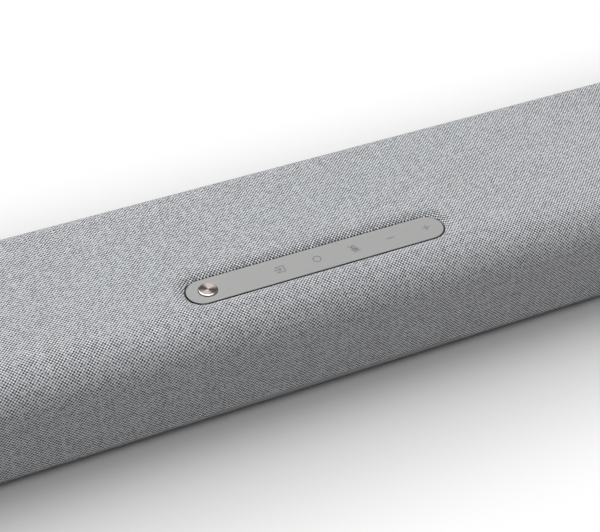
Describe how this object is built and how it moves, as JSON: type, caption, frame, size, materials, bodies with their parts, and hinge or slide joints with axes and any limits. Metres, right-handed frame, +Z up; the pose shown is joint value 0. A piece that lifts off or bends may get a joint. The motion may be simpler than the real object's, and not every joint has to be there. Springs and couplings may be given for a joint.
{
  "type": "soundbar",
  "caption": "Long fabric-covered soundbar with a stadium-shaped touch strip and push button on top, indicator window in front, rear connector bay and wall-mount keyholes.",
  "frame": {"origin": "middle of the footprint, on the plane the feet stand on", "axes": "+X along the length to the right seen from the front, -Y out of the front, +Z up"},
  "size_m": [1.015, 0.112, 0.063],
  "materials": {
    "cover_fabric": "plain weave",
    "shell_plastic": "moulded",
    "housing_plastic": "fine moulded grain",
    "baffle_plastic": "moulded",
    "strip_plastic": "satin",
    "groove_plastic": "matte",
    "window_plastic": "satin",
    "button_metal": "spun, copper-coloured",
    "switch_plastic": "matte",
    "board_green": "lacquered",
    "film": "film",
    "lamp_plastic": "clear resin",
    "chip_plastic": "matte",
    "sink_metal": "anodised",
    "plate_steel": "plated",
    "socket_plastic": "matte",
    "socket_metal": "plated",
    "foot_rubber": "matte",
    "screw_steel": "black",
    "wadding_felt": "felt",
    "spider_cloth": "resin-treated cloth",
    "frame_steel": "black",
    "magnet_iron": "plated",
    "cone_plastic": "matte",
    "surround_rubber": "matte"
  },
  "bodies": {
    "bar": {"bay_frame": "frame_steel", "board_standoffs": "plate_steel", "chamber_walls": "baffle_plastic", "connector_plate": "plate_steel", "control_board": "board_green", "control_cover": "strip_plastic", "control_ribbon": "film", "control_tray": "groove_plastic", "cover_screws": "screw_steel", "damping_wadding": "wadding_felt", "driver_spiders": "spider_cloth", "fabric_sleeve": "cover_fabric", "feet": "foot_rubber", "grille_shell": "shell_plastic", "hdmi_socket": "socket_metal", "heat_sink": "sink_metal", "height_left_frame": "frame_steel", "height_left_motor": "magnet_iron", "height_left_surround": "surround_rubber", "height_right_frame": "frame_steel", "height_right_motor": "magnet_iron", "height_right_surround": "surround_rubber", "indicator_board": "board_green", "indicator_lamps": "lamp_plastic", "indicator_window": "window_plastic", "inner_screws": "screw_steel", "keyhole_plates": "plate_steel", "main_board": "board_green", "main_board_parts": "chip_plastic", "mains_inlet": "socket_plastic", "optical_socket": "socket_plastic", "power_board": "board_green", "power_board_parts": "chip_plastic", "power_switch": "switch_plastic", "rear_housing": "housing_plastic", "speaker_baffle": "baffle_plastic", "touch_film": "film", "usb_socket": "socket_metal", "woofer_1_frame": "frame_steel", "woofer_1_motor": "magnet_iron", "woofer_1_surround": "surround_rubber", "woofer_2_frame": "frame_steel", "woofer_2_motor": "magnet_iron", "woofer_2_surround": "surround_rubber", "woofer_3_frame": "frame_steel", "woofer_3_motor": "magnet_iron", "woofer_3_surround": "surround_rubber", "woofer_4_frame": "frame_steel", "woofer_4_motor": "magnet_iron", "woofer_4_surround": "surround_rubber"},
    "power_button": {"power_button": "button_metal", "switch_plunger": "switch_plastic"},
    "woofer_1_cone": {"woofer_1_cone": "cone_plastic"},
    "woofer_2_cone": {"woofer_2_cone": "cone_plastic"},
    "woofer_3_cone": {"woofer_3_cone": "cone_plastic"},
    "woofer_4_cone": {"woofer_4_cone": "cone_plastic"},
    "height_left_cone": {"height_left_cone": "cone_plastic"},
    "height_right_cone": {"height_right_cone": "cone_plastic"}
  },
  "joints": [
    {"name": "power_button_press", "type": "slide", "parent": "bar", "child": "power_button", "axis": [0, 0, -1], "range_m": [0, 0.0006], "stiffness_N_per_m": 1500, "springref_m": -0.0008},
    {"name": "woofer_1_cone_travel", "type": "slide", "parent": "bar", "child": "woofer_1_cone", "axis": [0, -1, 0], "range_m": [-0.002, 0.002], "stiffness_N_per_m": 1200, "deforming": ["woofer_1_surround", "driver_spiders"]},
    {"name": "woofer_2_cone_travel", "type": "slide", "parent": "bar", "child": "woofer_2_cone", "axis": [0, -1, 0], "range_m": [-0.002, 0.002], "stiffness_N_per_m": 1200, "deforming": ["woofer_2_surround"]},
    {"name": "woofer_3_cone_travel", "type": "slide", "parent": "bar", "child": "woofer_3_cone", "axis": [0, -1, 0], "range_m": [-0.002, 0.002], "stiffness_N_per_m": 1200, "deforming": ["woofer_3_surround"]},
    {"name": "woofer_4_cone_travel", "type": "slide", "parent": "bar", "child": "woofer_4_cone", "axis": [0, -1, 0], "range_m": [-0.002, 0.002], "stiffness_N_per_m": 1200, "deforming": ["woofer_4_surround"]},
    {"name": "height_left_cone_travel", "type": "slide", "parent": "bar", "child": "height_left_cone", "axis": [0, -0.2079, 0.9781], "range_m": [-0.0015, 0.0015], "stiffness_N_per_m": 1200, "deforming": ["height_left_surround"]},
    {"name": "height_right_cone_travel", "type": "slide", "parent": "bar", "child": "height_right_cone", "axis": [0, -0.2079, 0.9781], "range_m": [-0.0015, 0.0015], "stiffness_N_per_m": 1200, "deforming": ["height_right_surround"]}
  ]
}
